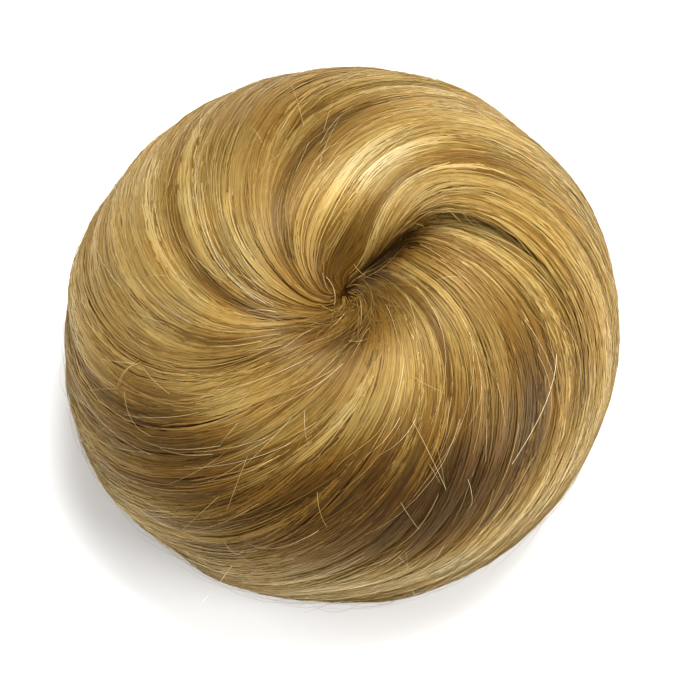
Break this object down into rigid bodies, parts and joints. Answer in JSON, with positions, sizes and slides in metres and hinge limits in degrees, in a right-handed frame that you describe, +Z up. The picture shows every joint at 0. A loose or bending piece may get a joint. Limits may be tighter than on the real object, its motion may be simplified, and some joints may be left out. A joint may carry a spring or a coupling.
{
  "type": "top knot hairpiece",
  "caption": "Round blonde top knot hairpiece, its hair wound clockwise out of a central whirl, hollow underneath over a cap with an elastic mouth and plain combs.",
  "frame": {"origin": "on the surface that the piece rests on, under the middle of its flat resting ring", "axes": "+Z up out of the whirl, +X towards the picture's right, -Y towards the side that the picture shows lowest"},
  "size_m": [0.1197, 0.1148, 0.0642],
  "materials": {
    "hair": "satin blonde fibre, streaked light and dark strand by strand",
    "cap_net": "matte stretch net",
    "elastic": "matte woven elastic",
    "comb_plastic": "moulded, satin"
  },
  "bodies": {
    "root": {"hair_swirl": "hair", "base_cap": "cap_net", "elastic_band": "elastic", "comb_front": "comb_plastic", "comb_back": "comb_plastic"}
  },
  "joints": []
}
